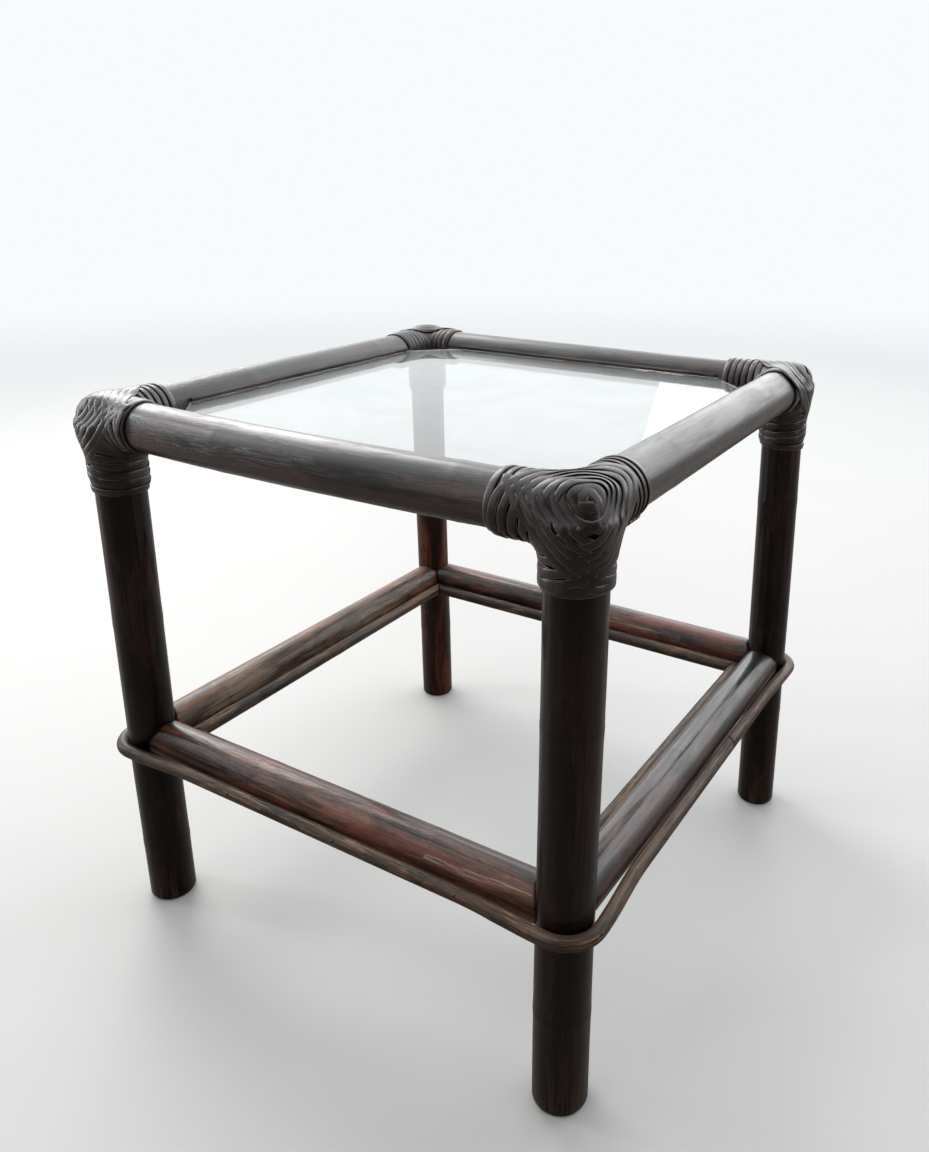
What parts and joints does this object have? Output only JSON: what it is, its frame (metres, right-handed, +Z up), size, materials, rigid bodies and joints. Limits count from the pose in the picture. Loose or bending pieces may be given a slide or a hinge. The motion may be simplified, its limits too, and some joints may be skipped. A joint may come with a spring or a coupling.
{
  "type": "rattan side table with glass top",
  "caption": "Square side table of dark round rattan poles with strip-bound corners, an inset clear glass top and a lower frame of stretchers edged with thin cane.",
  "frame": {"origin": "centre of the footprint of the whole table, on the floor", "axes": "+Z up, -Y the front (bowed rail), +X the side where the outer hoop is spliced"},
  "size_m": [0.515, 0.5148, 0.505],
  "materials": {
    "leg_pole": "dark stained rattan pole, glossy varnish",
    "rail_pole": "dark stained rattan pole, glossy varnish",
    "stretcher_pole": "worn brown rattan pole, satin to glossy varnish",
    "thin_cane": "worn tan-brown cane",
    "edge_cane": "grey-brown cane, satin",
    "binding": "dark grey-brown binding strip, satin",
    "dowel": "plain dowel",
    "glass": "clear float glass, ground edge"
  },
  "bodies": {
    "root": {"leg_front_right": "leg_pole", "leg_front_left": "leg_pole", "leg_back_right": "leg_pole", "leg_back_left": "leg_pole", "rail_front": "rail_pole", "rail_right": "rail_pole", "rail_back": "rail_pole", "rail_left": "rail_pole", "stretcher_front": "stretcher_pole", "stretcher_right": "stretcher_pole", "stretcher_back": "stretcher_pole", "stretcher_left": "stretcher_pole", "outer_hoop": "thin_cane", "inner_cane_front": "thin_cane", "inner_cane_right": "thin_cane", "inner_cane_back": "thin_cane", "inner_cane_left": "thin_cane", "glass_top": "glass", "glass_ledge_front": "edge_cane", "glass_ledge_right": "edge_cane", "glass_ledge_back": "edge_cane", "glass_ledge_left": "edge_cane", "glass_bead_front": "edge_cane", "glass_bead_right": "edge_cane", "glass_bead_back": "edge_cane", "glass_bead_left": "edge_cane", "corner_knot_front_right": "binding", "corner_knot_front_left": "binding", "corner_knot_back_right": "binding", "corner_knot_back_left": "binding", "leg_binding_front_right": "binding", "leg_binding_front_left": "binding", "leg_binding_back_right": "binding", "leg_binding_back_left": "binding", "rail_binding_front_front_left": "binding", "rail_binding_front_front_right": "binding", "rail_binding_right_front_right": "binding", "rail_binding_back_back_right": "binding", "rail_binding_back_back_left": "binding", "rail_binding_left_back_left": "binding", "rail_binding_left_front_left": "binding", "corner_dowel_front_right": "dowel", "corner_dowel_front_left": "dowel", "corner_dowel_back_right": "dowel", "corner_dowel_back_left": "dowel", "stretcher_dowel_front_front_left": "dowel", "stretcher_dowel_front_front_right": "dowel", "stretcher_dowel_right_front_right": "dowel", "stretcher_dowel_right_back_right": "dowel", "stretcher_dowel_back_back_right": "dowel", "stretcher_dowel_back_back_left": "dowel", "stretcher_dowel_left_back_left": "dowel", "stretcher_dowel_left_front_left": "dowel"}
  },
  "joints": []
}
